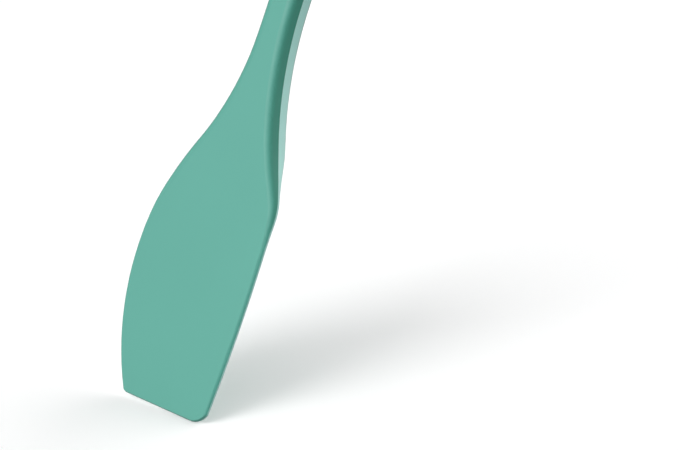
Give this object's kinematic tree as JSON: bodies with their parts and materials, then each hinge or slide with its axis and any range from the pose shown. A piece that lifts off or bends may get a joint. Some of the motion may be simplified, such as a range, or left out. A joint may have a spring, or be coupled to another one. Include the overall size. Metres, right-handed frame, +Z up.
{
  "type": "silicone spatula",
  "caption": "One-piece silicone spatula: flat asymmetric blade with one straight and one rounded side, faceted neck and handle with a hanging hole, moulded round a stiff core.",
  "frame": {"origin": "centre of the hanging hole, halfway through the handle's thickness", "axes": "+Z up along the handle to its end, the blade hanging down; -Y out of the flat working face; +X towards the blade's straight edge"},
  "size_m": [0.06, 0.012, 0.285],
  "materials": {
    "silicone": "matt moulded silicone, teal green",
    "core_nylon": "moulded glass-filled nylon, natural"
  },
  "bodies": {
    "root": {"silicone_body": "silicone", "core": "core_nylon"}
  },
  "joints": []
}
